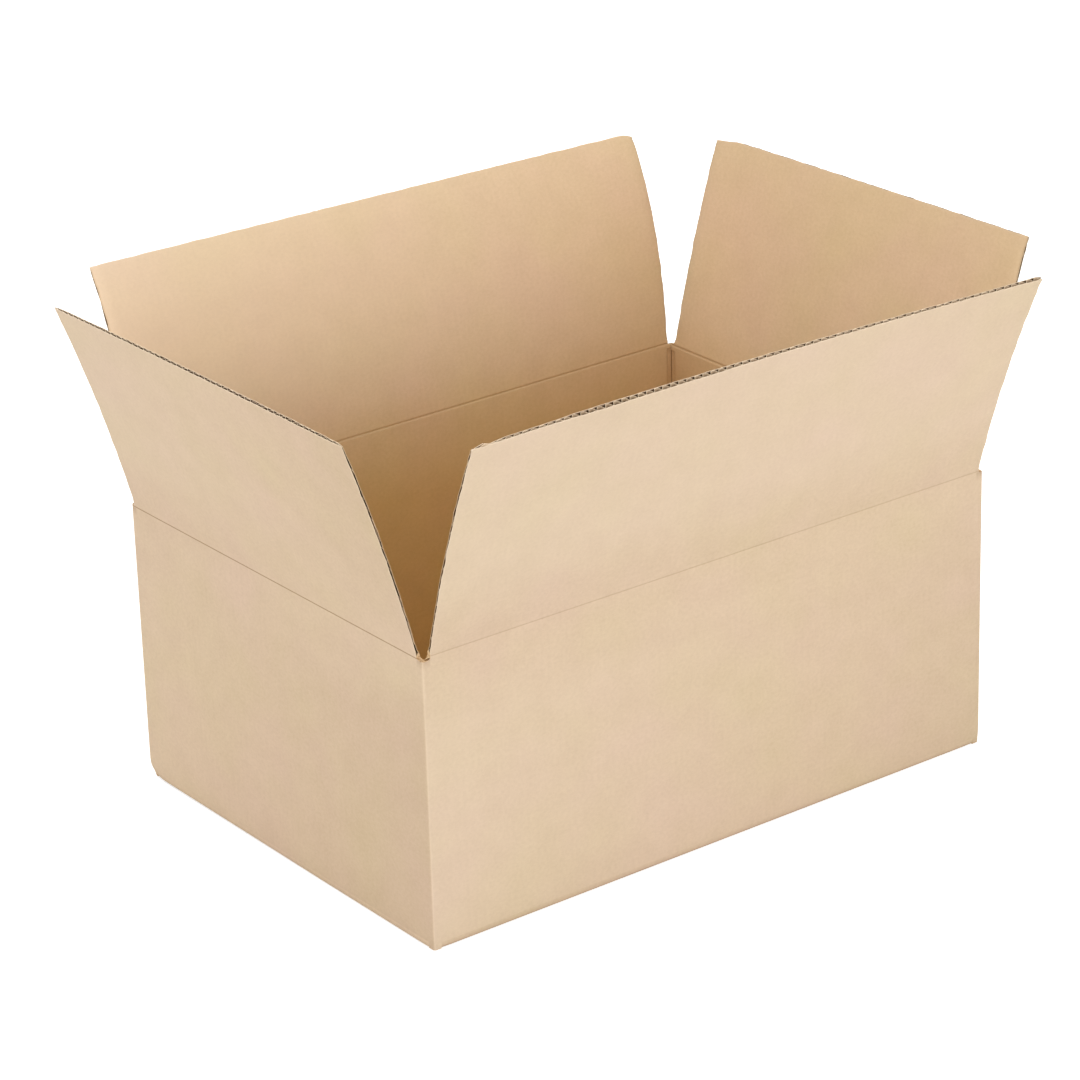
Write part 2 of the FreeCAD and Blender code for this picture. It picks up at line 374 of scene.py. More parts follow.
def slot_gap(side, height, end):
    """Distance from the ideal corner to the edge of the slot at a height: square cut, with rounded corners.

    gap = half slot * (1 - ((top of the rounding - height) / rounding)^4)^(1/4)
    """
    rounding = board().slot_round
    below = (slot_floor_low(side, end) + rounding - height) / rounding
    return half_slot_of(side, end) * (1 - np.clip(below, 0, 1) ** 4) ** 0.25


def slot_floor(side, corner_gap, end):
    """Height of the slot's floor at a distance from the ideal corner: the inverse of slot_gap."""
    share = (1 - np.clip(corner_gap / half_slot_of(side, end), 0, 1) ** 4) ** 0.25
    return slot_floor_low(side, end) + board().slot_round * (1 - share)


def along_flap(side, name, along_place):
    """Lean or bow at a place along a flap: the parabola through its low, middle and high values."""
    half, _ = half_of(side)
    low, middle, high = getattr(bpy.context.scene.carton_flaps, f"{side}_{name}")
    place = np.clip(along_place / half, -1, 1)
    return middle + (high - low) / 2 * place + ((high + low) / 2 - middle) * place ** 2


def flap_shape(side, along_place, up_sheet):
    """Outward and upward run of a side's outer face, and its lean, by distance v up the sheet from the score.

    lean = foot lean * step over SCORE_BEND either side of the score + bow * v / length + curl * (v /
    length)^2, and the runs are the integrals of sin(lean) and cos(lean).
    """
    bend = SCORE_BEND
    foot = along_flap(side, "lean", along_place)
    bow = along_flap(side, "bow", along_place)
    curl = getattr(bpy.context.scene.carton_flaps, f"{side}_curl")

    def lean_at(distance):
        share = np.maximum(distance, 0) / board().top_flap
        return foot * smooth_step((distance + bend) / (2 * bend)) + bow * share + curl * share ** 2

    outwards, upwards = np.zeros_like(up_sheet), np.minimum(up_sheet, -bend)
    for start, stop in ((-bend, np.clip(up_sheet, -bend, bend)), (bend, np.maximum(up_sheet, bend))):
        for at, share in zip(GAUSS_AT, GAUSS_SHARE):
            lean = lean_at(start + (stop - start) * (at + 1) / 2)
            outwards = outwards + share * (stop - start) / 2 * np.sin(lean)
            upwards = upwards + share * (stop - start) / 2 * np.cos(lean)
    return outwards, upwards, lean_at(up_sheet)


def flap_points(side, along_place, up_sheet, depth):
    """Point of a side's top sheet: its outer face, moved inwards square to the sheet by depth."""
    _, other = half_of(side)
    outwards, upwards, lean = flap_shape(side, along_place, up_sheet)
    outwards = other + outwards - depth * np.cos(lean)
    upwards = score_of(side) + upwards + depth * np.sin(lean)
    return in_space(side, along_place, outwards, upwards)


def sheet_place(side, along_place, up_sheet, depth):
    """Place on the flat sheet: along it, up it, and through its thickness from 0 outside to 1 inside."""
    along = sheet_start(side) + along_place + 0 * up_sheet
    return np.stack([along, up_sheet + score_of(side) + 0 * along, depth / board().caliper + 0 * along], -1)


def flap_span(side, up_sheet, setback, seed):
    """Both ends of a layer of the flap, for each height: the slot's edge, set back and a little ragged.

    The raggedness is 0.25 mm, and grows over the first 15 mm above the score.
    """
    half, _ = half_of(side)
    height = score_of(side) + up_sheet
    rough = np.clip(up_sheet / (15 * MM), 0, 1)
    low = -half + slot_gap(side, height, -1) + setback + rough * ragged(up_sheet, 0.25 * MM, 14 * MM, seed)
    high = half - slot_gap(side, height, 1) - setback + rough * ragged(up_sheet, 0.25 * MM, 14 * MM, seed + 1)
    return low, high


# Length of each flap over or under the nominal one, as a share of it, at its low and high end.
FLAP_LENGTH = {
    "left": (0.003, -0.005),
    "front": (-0.002, 0.015),
    "right": (0.007, -0.025),
    "back": (-0.026, 0),
}
# Blunt corners: the end, how much is missing from the flap's length there, and over what distance it grows.
BLUNT_CORNER = {"right": (1, 4.0 * MM, 45 * MM), "back": (-1, 4.6 * MM, 20 * MM)}
# Share of the board's thickness at the free edge, by share of the way from the low end to the high.
EDGE_THICKNESS = {
    "left": ((0, 0.55), (0.15, 0.65), (0.5, 0.74), (0.8, 0.76), (0.97, 0.6), (1, 0.5)),
    "front": ((0, 0.5), (0.018, 0.5), (0.034, 0.36), (0.05, 0.45), (0.062, 0.7), (0.14, 0.78), (0.165, 0.85),
              (0.19, 1.15), (0.23, 1.2), (0.3, 1.13), (0.4, 1.13), (0.5, 0.9), (0.7, 0.78), (0.9, 0.78),
              (0.96, 0.95), (0.98, 1.15), (1, 1.0)),
    "right": ((0, 0.8), (0.3, 0.9), (0.7, 0.8), (1, 0.7)),
    "back": ((0, 0.7), (0.3, 0.9), (0.6, 0.85), (0.9, 0.9), (1, 0.8)),
}
# Painted light and shade on each flap's outer and inner liner: how much paler it is painted at its low and
# high end; below 0 it is darker.
PAINTED_LIGHT = {
    "left": {OUTER: (0.2, -0.09), INNER: (0.1, 0.1)},
    "front": {OUTER: (0.22, 0.18), INNER: (0.1, 0.1)},
    "right": {OUTER: (0.1, 0.1), INNER: (0, 0)},
    "back": {OUTER: (0.1, 0.1), INNER: (0, 0.34)},
}
# The same painted light and shade for the outer liner of each wall.
WALL_PAINTED_LIGHT = {"left": (0.03, -0.15), "front": (0.17, -0.07), "right": (0, 0), "back": (0, 0)}
# How dark each crease shows outside: partly pressed paper, partly painted shade in the crease.
CREASE_TONE = {"left": 0.85, "front": 0.35, "right": 0.6, "back": 0.5}
# Torn low end of the front flap: how far each layer's edge stands out, how far along, and over what width,
# in millimetres. CUT stands for the medium.
TORN_CORNER = {
    OUTER: ((-0.5, 20, 6),),
    INNER: ((2, 19, 3.5), (-1, 10, 2.5), (-1.2, 27, 4)),
    CUT: ((-2.5, 11, 3), (1.6, 19, 3)),
}
# Steps from 0 to 1 across and up a flap's liners, close together at the cut edges and at the foot.
END_STEPS = np.array([0, 0.001, 0.0025, 0.005, 0.01, 0.018, 0.03, 0.045])
LINER_ACROSS = np.concatenate([END_STEPS, np.linspace(0.06, 0.94, 105), 1 - END_STEPS[::-1]])
LINER_UP = np.concatenate([
    [0, 0.003, 0.008, 0.016, 0.028], np.linspace(0.05, 0.9, 20),
    [0.92, 0.94, 0.955, 0.968, 0.978, 0.986, 0.993, 1]])
# Steps up a flap's medium, and the number of steps across each of its flutes.
WAVE_UP = np.concatenate([np.linspace(0, 0.9, 46), [0.93, 0.955, 0.975, 0.99, 1]])
FLUTE_STEPS = 10
# Power that makes the crests of a flap's flutes narrower than their troughs.
CREST_POWER = 3.4


def flap_length(side, along_place):
    """Length of a flap from its score to its free edge, less what is missing at a blunt corner."""
    half, _ = half_of(side)
    low, high = FLAP_LENGTH[side]
    length = board().top_flap * (1 + low + (high - low) * (along_place / half + 1) / 2)
    if side in BLUNT_CORNER:
        end, missing, distance = BLUNT_CORNER[side]
        length = length - missing * (1 - smooth_step((half - end * along_place) / distance))
    return length


def skin_depths(side, along_place, up_sheet):
    """Depths of the outer and inner face of a side's top board, from the flat outer face inwards.

    The board is thinner or swollen towards the free edge, pressed to half at the side edges, and creased at
    the score: 0.12 mm outside, and a groove of 0.6 mm * exp(-((v - 0.3 mm) / 0.8 mm)^2) inside. Where it is
    thinner the inner face gives way by 70% of the difference, and where it is swollen the outer by 80%.
    """
    half, _ = half_of(side)
    caliper = board().caliper
    at, kept = zip(*EDGE_THICKNESS[side])
    kept = np.interp((along_place / half + 1) / 2, at, kept)
    to_edge = np.maximum(flap_length(side, along_place) - up_sheet, 0)
    edge = (1 - kept) * np.exp(-((to_edge / (9 * MM)) ** 1.5))
    to_side = np.maximum(half - half_slot_of(side, np.sign(along_place)) - np.abs(along_place), 0)
    flank = 0.5 * bump_at(to_side, 0, 3.5 * MM) * smooth_step(up_sheet / (8 * MM))
    pressed = edge + flank - edge * flank
    outer_share = np.where(pressed < 0, 0.8, 0.3)
    outer = caliper * pressed * outer_share + 0.12 * MM * bump_at(up_sheet, 0, 0.5 * MM)
    inner = caliper - caliper * pressed * (1 - outer_share) - 0.6 * MM * bump_at(up_sheet, 0.3 * MM, 0.8 * MM)
    return outer, inner


def painted_light_tone(side, ends, along_place, up_sheet):
    """Painted light and shade on a liner, paler above 0: evenly from its low to its high end, and growing
    away from the crease.
    """
    half, _ = half_of(side)
    low, high = ends
    return (low + (high - low) * (along_place / half + 1) / 2) * smooth_step(np.abs(up_sheet) / (80 * MM))


def flap_layer(side, across, up, foot, setback, seed, edge, depths, finishes):
    """One closed layer of a flap, between the two depths that depths gives by place along and up the sheet.

    across and up run from 0 to 1 over the layer, from the height foot to the free edge that edge gives. The
    paper is worn pale along its cut edges, but a layer with a hidden outer face is darkened at its side edges
    as painted shade, and its faces carry painted light and shade that grows away from the crease.
    """
    nominal = foot + (board().top_flap - foot) * up[None, :]
    low, high = flap_span(side, nominal, setback(nominal), seed)
    along = low + (high - low) * across[:, None]
    up_sheet = foot + (edge(along) - foot) * up[None, :]
    shallow, deep = depths(along, up_sheet)
    nearness = np.minimum(along - low, high - along)
    # A layer whose outer face is hidden has its side edges darkened as painted shade; the others' side edges,
    # and every free edge, are worn pale.
    side_tone = 0.3 if finishes[0] == SHADED_PAPER else -0.2
    wear_and_painted_light = side_tone * bump_at(nearness, 0, 0.8 * MM) - 0.25 * bump_at(edge(along) - up_sheet, 0, 0.8 * MM)
    # Painted light and shade over each layer's faces, paler where the table is above 0.
    ends = [PAINTED_LIGHT[side].get(finish, (0, 0)) for finish in finishes[:2]]
    tones = [wear_and_painted_light - painted_light_tone(side, pair, along, up_sheet) for pair in ends]
    return slab(
        flap_points(side, along, up_sheet, shallow), flap_points(side, along, up_sheet, deep),
        sheet_place(side, along, up_sheet, shallow), sheet_place(side, along, up_sheet, deep),
        finishes, tones)


def flap_edge(side, layer, along_place):
    """Free edge of one layer: the flap's length, a little ragged, and torn near the front flap's low end."""
    half, _ = half_of(side)
    seed = SIDES[side]["seed"] + layer
    edge = flap_length(side, along_place) + ragged(along_place, 0.13 * MM, 25 * MM, seed)
    if side == "front":
        for stands_out, place, width in TORN_CORNER[layer]:
            edge = edge + stands_out * MM * bump_at(along_place + half, place * MM, width * MM)
    return edge


def make_flap_piece(side):
    """Top flap: outer liner, waved medium and inner liner as three closed layers.

    The middle of the medium runs at half depth + room * (1 - 2 ((1 + cos(2 pi s / pitch)) / 2)^CREST_POWER),
    where room is what the liners leave it, so that it lies longer against the inner liner. Each flute ends
    0.05 to 0.6 mm short of the liners. The outer liner starts nearest the score, so that the fold can close.
    """
    sizes = board()
    liner, medium = sizes.liner, sizes.medium
    half, _ = half_of(side)
    seed = 100 + SIDES[side]["seed"]

    def outer_depths(along, up_sheet):
        outer, _ = skin_depths(side, along, up_sheet)
        return outer, outer + liner

    def inner_depths(along, up_sheet):
        _, inner = skin_depths(side, along, up_sheet)
        return inner - liner, inner

    def wave_depths(along, up_sheet):
        outer, inner = skin_depths(side, along, up_sheet)
        room = (inner - outer) / 2 - liner - medium / 2
        crest = ((1 + np.cos(2 * np.pi * along / sizes.pitch)) / 2) ** CREST_POWER
        middle = (inner + outer) / 2 + room * (1 - 2 * crest)
        return middle - medium / 2, middle + medium / 2

    def outer_edge(along):
        return flap_edge(side, OUTER, along)

    def inner_edge(along):
        return flap_edge(side, INNER, along)

    recess = np.random.default_rng(seed).uniform(0.05, 0.6, 400) * MM

    def wave_edge(along):
        number = np.floor(along / sizes.pitch).astype(int) + 100
        return flap_edge(side, CUT, along) - recess[number]

    def no_setback(up_sheet):
        return 0

    def wave_setback(up_sheet):
        return np.clip(0.9 * MM + ragged(up_sheet, 2.1 * MM, 6 * MM, seed + 4), 0.05 * MM, 3.5 * MM)

    wave_across = np.linspace(0, 1, round(2 * half / sizes.pitch) * FLUTE_STEPS + 1)
    wave_foot = FLAP_FOOT[1] + 0.3 * MM
    # The medium's outer face shows at the side edges: darkened as painted shade on the left flap, inner liner
    # paper on the others.
    wave_face = SHADED_PAPER if side == "left" else INNER
    return new_piece(f"top_flap_{side}", [
        flap_layer(side, LINER_ACROSS, LINER_UP, FLAP_FOOT[0], no_setback, seed, outer_edge, outer_depths,
                   (OUTER, SHADED_PAPER, CUT)),
        flap_layer(side, wave_across, WAVE_UP, wave_foot, wave_setback, seed + 5, wave_edge, wave_depths,
                   (wave_face, SHADED_PAPER, CUT)),
        flap_layer(side, LINER_ACROSS, LINER_UP, FLAP_FOOT[1], no_setback, seed + 2, inner_edge, inner_depths,
                   (SHADED_PAPER, INNER, CUT)),
    ])


def make_fold_piece(side):
    """Pressed strip of board along a top score, from the wall under it to the foot of the flap.

    Its section is a wedge, wide inside and narrow outside, so that its ends meet when the flap closes.
    """
    half, _ = half_of(side)
    even = np.linspace(-1, 1, 25)
    step = 0.35 * np.sin(even * np.pi / 2) + 0.65 * even
    grids = []
    for number, (low_v, high_v) in enumerate(zip(WALL_TOP, FLAP_FOOT)):
        up_sheet = low_v + (high_v - low_v) * (step + 1) / 2
        height = score_of(side) + up_sheet
        radius = board().corner_radius
        low = -half + np.maximum(slot_gap(side, height, -1), radius)
        high = half - np.maximum(slot_gap(side, height, 1), radius)
        along = low + (high - low) * np.linspace(0, 1, 101)[:, None]
        up_sheet = up_sheet[None, :] + 0 * along
        depth = skin_depths(side, along, up_sheet)[number]
        # The creases outside and the groove inside are darkened, partly as pressed paper and partly as
        # painted shade.
        if number == 0:
            tone = CREASE_TONE[side] * bump_at(up_sheet, 0, 0.45 * MM)
        else:
            tone = 0.3 * bump_at(up_sheet, 0.3 * MM, 0.6 * MM)
        points = flap_points(side, along, up_sheet, depth)
        grids.append((points, sheet_place(side, along, up_sheet, depth), tone))
    (outer, outer_sheet, outer_tone), (inner, inner_sheet, inner_tone) = grids
    strip = slab(outer, inner, outer_sheet, inner_sheet, (OUTER, INNER, INNER), (outer_tone, inner_tone))
    return new_piece(f"top_fold_{side}", [strip])


def blend_with_flap(piece, side, up_low, up_high):
    """Bake a piece's transform into its mesh; the flap's shape at up_low and up_high is worked out but not
    used.
    """
    along, out = axes_of(side)

    middle = np.array([0.0])
    for distance in (up_low, up_high):
        outwards, upwards, _ = flap_shape(side, middle, np.array([distance]))
    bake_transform(piece)


def closing_shares(side):
    """Shares of the joint's closing angle that bring the flap's foot and its free edge level."""
    flaps = bpy.context.scene.carton_flaps
    closing = -JOINTS[SIDES[side]["joint"]]["range_deg"][0]
    foot = math.degrees(getattr(flaps, f"{side}_lean")[1])
    chord = foot + math.degrees(getattr(flaps, f"{side}_bow")[1] / 2 + getattr(flaps, f"{side}_curl") / 3)
    return (90 + foot) / closing, min(1, (90 + chord) / closing)


def wall_stations(half, radius):
    """Steps along a wall between its ideal corners, close together round the folds."""
    onward = np.array([2.9, 3.6, 4.4, 5.1, 5.4, 5.9, 6.4, 6.9, 7.3, 7.4, 7.5, 8.5, 10, 12, 15, 20]) * MM
    near = np.concatenate([np.linspace(0, radius, 7), onward])
    middle = np.linspace(-half + 0.03, half - 0.03, 61)
    return np.concatenate([near - half, middle, half - near[::-1]])


def corner_press(corner_gap):
    """How far the inside of a wall is pressed outwards near an upright fold, by the gap to the ideal corner.

    A band of 0.75 mm that ends between 6 and 9 mm, and in it a groove of 0.8 mm * exp(-(gap / 1 mm)^2).
    """
    band = 1 - smooth_step((corner_gap - 6 * MM) / (3 * MM))
    return 0.75 * MM * band + 0.8 * MM * bump_at(corner_gap, 0, MM)


def corner_tuck(side, end, corner_gap, height):
    """Inward set of the board near the bottom of an upright fold, deepest at the far left one.

    tuck = depth * exp(-(gap / 12 mm)^2) * exp(-(height / 8 mm)^2), and depth is 3.6 or 0.6 mm.
    """
    far_left = ((side == "left") & (end < 0)) | ((side == "back") & (end > 0))
    depth = np.where(far_left, 3.6 * MM, 0.6 * MM)
    return depth * bump_at(corner_gap, 0, 12 * MM) * bump_at(height, 0, 8 * MM)


def wall_run(side, stations, turn):
    """Outer and inner grids of one standing wall, with their flat places and their creases.

    Each column runs from the bottom fold, or near a corner from 0.6 mm over the floor, up to the top crease
    or the slot. Outside, the upright folds are pale, partly worn and partly a painted highlight, the paper is
    darker near the floor, and painted light and shade lies along the left and front walls; the slot floors
    are darker on both skins; inside, the folds are darkened as painted shade.
    """
    sizes = board()
    half, _ = half_of(side)
    place = stations[:, None]
    gap, end = half - np.abs(place), np.sign(place)
    at_corner = gap <= sizes.corner_radius + 1e-9
    bottom = np.where(gap < 7.45 * MM, 0.6 * MM, BOTTOM_START)
    rows = np.concatenate([np.linspace(0, 0.06, 7)[:-1], np.linspace(0.06, 1, 34)])[None, :]
    grids = []
    for number, below in enumerate(WALL_TOP):
        floor = slot_floor(side, gap, end)
        top = np.where(at_corner, floor, np.minimum(floor, score_of(side) + below))
        height = bottom + (top - bottom) * rows
        along = place + 0 * height
        tuck = corner_tuck(side, end, gap, height)
        pressed = sizes.caliper - corner_press(gap) if number else 0
        grids.append(wall_points(side, along, height, tuck + pressed))
        grids.append(np.stack([along + turn * WALL_STEP, height, 0 * height + number], -1))
        # The slot floors are darker on both skins.
        slot_floor_darker = np.where(gap < sizes.slot_half, 0.3, 0) * bump_at(top - height, 0, 0.8 * MM)
        # Outside: a pale line at the upright fold, partly worn and partly a painted highlight, and darker
        # paper near the floor.
        wear_and_painted_light = -0.22 * bump_at(gap, 0, 0.45 * MM) + 0.12 * bump_at(height, 0, 5 * MM) + slot_floor_darker
        # Painted light and shade along the wall.
        wear_and_painted_light = wear_and_painted_light - painted_light_tone(side, WALL_PAINTED_LIGHT[side], along, height - score_of(side))
        # Inside: painted shade in the upright folds and at the edge of the pressed band, and the darker slot
        # floors.
        inner_fold_shade_and_slot_floor = 0.75 * bump_at(gap, 0, 0.8 * MM) + 0.2 * bump_at(gap, 8 * MM, 0.8 * MM) + slot_floor_darker
        grids.append(inner_fold_shade_and_slot_floor if number else wear_and_painted_light)
    return grids


def make_walls_piece():
    """Four walls as one sheet, from the glued corner round to the back wall's cut edge."""
    radius = board().corner_radius
    half, _ = half_of("back")
    last = half - radius - 1.2 * MM
    back = wall_stations(half, radius)
    runs = [wall_run("back", back[back >= half - radius - 1e-9], -2)]
    for side in ("left", "front", "right"):
        runs.append(wall_run(side, wall_stations(half_of(side)[0], radius)[1:], SIDES[side]["turn"]))
    runs.append(wall_run("back", np.append(back[1:][back[1:] < last], last), 2))
    outer, outer_sheet, wear_and_painted_light, inner, inner_sheet, crease = (np.concatenate(grids) for grids in zip(*runs))
    walls = slab(outer, inner, outer_sheet, inner_sheet, (OUTER, INNER, INNER), (wear_and_painted_light, crease))
    return new_piece("walls", [walls])


def make_tab_piece():
    """Glue tab of the left wall, lying inside the back wall, with bevelled ends."""
    sizes = board()
    half, other = half_of("back")
    low, top = 8.5 * MM, score_of("left") - 2 * sizes.caliper
    across = np.linspace(0, 1, 13)
    up = np.linspace(0, 1, 25)
    start = half - sizes.caliper - 0.2 * MM
    along = start - sizes.tab_width * across[:, None] + 0 * up[None, :]
    bevel = 12 * MM * across[:, None]
    height = (low + bevel) + (top - low - 2 * bevel) * up[None, :]
    face = other - sizes.caliper
    thickness = 3.4 * MM - 0.8 * MM * smooth_step((across[:, None] - 0.7) / 0.3) + 0 * along
    outer = in_space("back", along, face - 0 * along, height)
    inner = in_space("back", along, face - thickness, height)
    sheet = np.stack([along - 4 * WALL_STEP, height, 0 * along], -1)
    return new_piece("glue_tab", [slab(outer, inner, sheet, sheet + np.array([0, 0, 1]))])


def hang_of(side, along_place):
    """Height of a bottom fold over the floor; the left one stands clear of it towards the far end.

    hang = 0 on the long walls, 0.4 mm on the right one, and on the left one 0.2 mm and at its low end 1.2 mm
    more, dying away over 62% of the wall.
    """
    half, _ = half_of(side)
    if side in ("front", "back"):
        return 0 * along_place
    if side == "right":
        return 0.4 * MM + 0 * along_place
    return 0.2 * MM + 1.2 * MM * np.clip(1 - (along_place / half + 1) / 1.24, 0, 1)


def bottom_place(side, along_place, distance, depth):
    """Point of a bottom flap with its fold, by distance down the sheet from the foot of the wall.

    Down the wall, round a quarter circle, and inwards; a short flap then steps up by smooth_step onto the
    long ones. The depth is taken square to the outer face.
    """
    half, other = half_of(side)
    long_side = side in ("front", "back")
    radius = (3.5 if long_side else 2.5) * MM
    straight = BOTTOM_START - hang_of(side, along_place) - radius
    arc = radius * np.pi / 2
    turn = np.clip((distance - straight) / arc, 0, 1) * np.pi / 2
    inward = np.maximum(distance - straight - arc, 0)
    level = 0 if long_side else board().caliper + 0.05 * MM - hang_of(side, along_place)
    height = BOTTOM_START - np.minimum(distance, straight) - radius * np.sin(turn)
    tuck = corner_tuck(side, np.sign(along_place), half - np.abs(along_place), height)
    height = height + level * smooth_step(inward / (4.6 * MM)) + depth * np.sin(turn)
    outward = other - radius * (1 - np.cos(turn)) - inward - depth * np.cos(turn) - tuck
    return in_space(side, along_place, outward, height)


def bottom_layer(side, across, reach, depths, finishes, recess, setback, seed):
    """One closed layer of a bottom flap, between the two depths that depths gives by place along it."""
    half, _ = half_of(side)
    down = np.concatenate([np.linspace(0, 14 * MM, 29), np.linspace(14 * MM, reach, 16)[1:]])
    trim = board().slot_half + setback + ragged(down, 0.15 * MM, 20 * MM, seed)
    along = (half - trim) * (2 * across[:, None] - 1)
    ragged_end = recess + ragged(along, 0.15 * MM, 25 * MM, seed + 5)
    distance = down[None, :] - ragged_end * smooth_step((down[None, :] - reach + 20 * MM) / (20 * MM))
    grids, sheets = [], []
    for depth in depths(along):
        grids.append(bottom_place(side, along, distance, depth))
        flat = np.stack([along + sheet_start(side), BOTTOM_START - distance, depth / board().caliper], -1)
        sheets.append(flat)
    # The paper is darker round the bottom fold.
    bottom_fold_darker = 0.22 * bump_at(distance, 4.5 * MM, 3 * MM)
    return slab(*grids, *sheets, finishes, (bottom_fold_darker, bottom_fold_darker))


def make_bottom_piece(side):
    """Bottom flap with its fold: two liners, and a medium between them.

    The middle of the medium runs at half depth + room * cos(2 pi s / pitch).
    """
    sizes = board()
    half, _ = half_of(side)
    seed = 200 + SIDES[side]["seed"]
    reach = BOTTOM_START + BODY_HIGH.y - sizes.seam / 2 - 2 * MM
    broad = np.linspace(0, 1, 81)
    fine = np.linspace(0, 1, round(2 * (half - sizes.slot_half) / sizes.pitch) * 8 + 1)
    room = sizes.caliper / 2 - sizes.liner - sizes.medium / 2

    def outer_depths(along):
        return 0 * along, sizes.liner + 0 * along

    def inner_depths(along):
        return sizes.caliper - sizes.liner + 0 * along, sizes.caliper + 0 * along

    def wave_depths(along):
        middle = sizes.caliper / 2 + room * np.cos(2 * np.pi * along / sizes.pitch)
        return middle - sizes.medium / 2, middle + sizes.medium / 2

    return new_piece(f"bottom_flap_{side}", [
        bottom_layer(side, broad, reach, outer_depths, (OUTER, SHADED_PAPER, CUT), 0, 0, seed),
        bottom_layer(side, fine, reach, wave_depths, (SHADED_PAPER, SHADED_PAPER, CUT), 0.5 * MM, 0.8 * MM, seed + 1),
        bottom_layer(side, broad, reach, inner_depths, (SHADED_PAPER, INNER, CUT), 0, 0, seed + 2),
    ])


# Pressed creases and painted shade are multiplied by the first colour, and worn paper and painted light turn
# to the second.
CRUSHED_AND_SHADED = (0.42, 0.30, 0.20)
RUBBED_AND_LIT = (0.86, 0.72, 0.57)
WHITE = (1, 1, 1)


def paper_material(name, colour, seed, ripple, low=None):
    """Kraft paper on the flat sheet's own coordinates.

    The colour is multiplied by wide clouds from pinkish to yellowish, by fine mottle, by fibres that run
    along the sheet, by sparse specks and by a faint washboard over the flutes, whose stripes are painted
    shade of their ripple. Where the crease attribute is above 0 the colour turns darker, for pressed creases
    and for painted shade, and below 0 paler, for worn paper and for painted light. ripple is the washboard's
    share. low, where it is given, is painted shade: it multiplies the colour at the bottom of the walls, and
    fades out up to the creases.
    """
    mottle = bpy.context.scene.carton_paper.mottle
    material = bpy.data.materials.new(name)
    material.use_nodes = True
    tree = material.node_tree
    nodes, links = tree.nodes, tree.links
    shader = nodes["Principled BSDF"]
    shader.inputs["Roughness"].default_value = 0.9
    shader.inputs["Specular IOR Level"].default_value = 0.2
    place = nodes.new("ShaderNodeAttribute")
    place.attribute_name = "sheet"
    # Reads the creases, worn edges and painted light and shade.
    crease_and_light_node = nodes.new("ShaderNodeAttribute")
    crease_and_light_node.attribute_name = "crease"

    def noise(scale, detail, stretch, offset):
        move = nodes.new("ShaderNodeMapping")
        move.inputs["Scale"].default_value = stretch
        move.inputs["Location"].default_value = (offset, offset * 0.7, 0)
        links.new(place.outputs["Vector"], move.inputs["Vector"])
        texture = nodes.new("ShaderNodeTexNoise")
        texture.inputs["Scale"].default_value = scale
        texture.inputs["Detail"].default_value = detail
        texture.inputs["Roughness"].default_value = 0.6
        links.new(move.outputs["Vector"], texture.inputs["Vector"])
        return texture.outputs["Fac"]

    def ramp(value, stops):
        node = nodes.new("ShaderNodeValToRGB")
        for element, (at, shade) in zip(node.color_ramp.elements, stops):
            element.position = at
            element.color = (*shade, 1)
        links.new(value, node.inputs["Fac"])
        return node.outputs["Color"]

    def blend_colour(kind, a, b, share):
        node = nodes.new("ShaderNodeMix")
        node.data_type = "RGBA"
        node.blend_type = kind
        for socket, value in (("Factor", share), ("A", a), ("B", b)):
            if isinstance(value, tuple):
                node.inputs[socket].default_value = (*value, 1)
            elif isinstance(value, float):
                node.inputs[socket].default_value = value
            else:
                links.new(value, node.inputs[socket])
        return node.outputs["Result"]

    def calculate(kind, value, second, third=0.0, clamp=False):
        node = nodes.new("ShaderNodeMath")
        node.operation = kind
        node.use_clamp = clamp
        for socket, number in enumerate((value, second, third)):
            if isinstance(number, float):
                node.inputs[socket].default_value = number
            else:
                links.new(number, node.inputs[socket])
        return node.outputs["Value"]

    split = nodes.new("ShaderNodeSeparateXYZ")
    links.new(place.outputs["Vector"], split.inputs["Vector"])
    wave = calculate("COSINE", calculate("MULTIPLY", split.outputs["X"], 2 * math.pi / board().pitch), 0.0)

    shade = colour
    # Painted shade: low darkens and browns the colour towards the bottom of the walls, fading out up to the
    # creases.
    if low is not None:
        depth = calculate("MULTIPLY_ADD", split.outputs["Y"], -10.0, 2.8, clamp=True)
        shade = blend_colour("MULTIPLY", shade, low, depth)
    # Clouds, patches, flecks, fibres and specks: scale, detail, stretch, seed, two stops and strength.
    patterns = (
        (9, 2, 1, seed, (0.3, (1, 0.975, 0.99)), (0.7, (0.975, 0.99, 0.915)), mottle),
        (38, 4, 1, seed + 2, (0.3, (0.95, 0.94, 0.93)), (0.7, WHITE), mottle),
        (330, 4, 1, seed + 3, (0.3, (0.945, 0.93, 0.915)), (0.62, WHITE), mottle),
        (1100, 3, 0.2, seed + 5, (0.3, (0.96, 0.955, 0.945)), (0.7, WHITE), 1.0),
        (420, 1, 1, seed + 7, (0.125, (0.55, 0.4, 0.28)), (0.16, WHITE), 0.85),
    )
    for scale, detail, stretch, offset, dark_stop, pale_stop, strength in patterns:
        tint = ramp(noise(scale, detail, (stretch, 1, 0), offset), (dark_stop, pale_stop))
        shade = blend_colour("MULTIPLY", shade, tint, strength)
    # The washboard's stripes in the colour are painted shade of the flutes' ripple; the flutes' bump gives
    # the ripple itself.
    washboard = calculate("MULTIPLY_ADD", wave, 0.012 * ripple, 1 - 0.012 * ripple)
    shade = blend_colour("MULTIPLY", shade, washboard, 1.0)
    darker = calculate("MULTIPLY", crease_and_light_node.outputs["Fac"], 1.0, clamp=True)
    paler = calculate("MULTIPLY", crease_and_light_node.outputs["Fac"], -1.0, clamp=True)
    shade = blend_colour("MULTIPLY", shade, CRUSHED_AND_SHADED, darker)
    shade = blend_colour("MIX", shade, RUBBED_AND_LIT, paler)
    links.new(shade, shader.inputs["Base Color"])

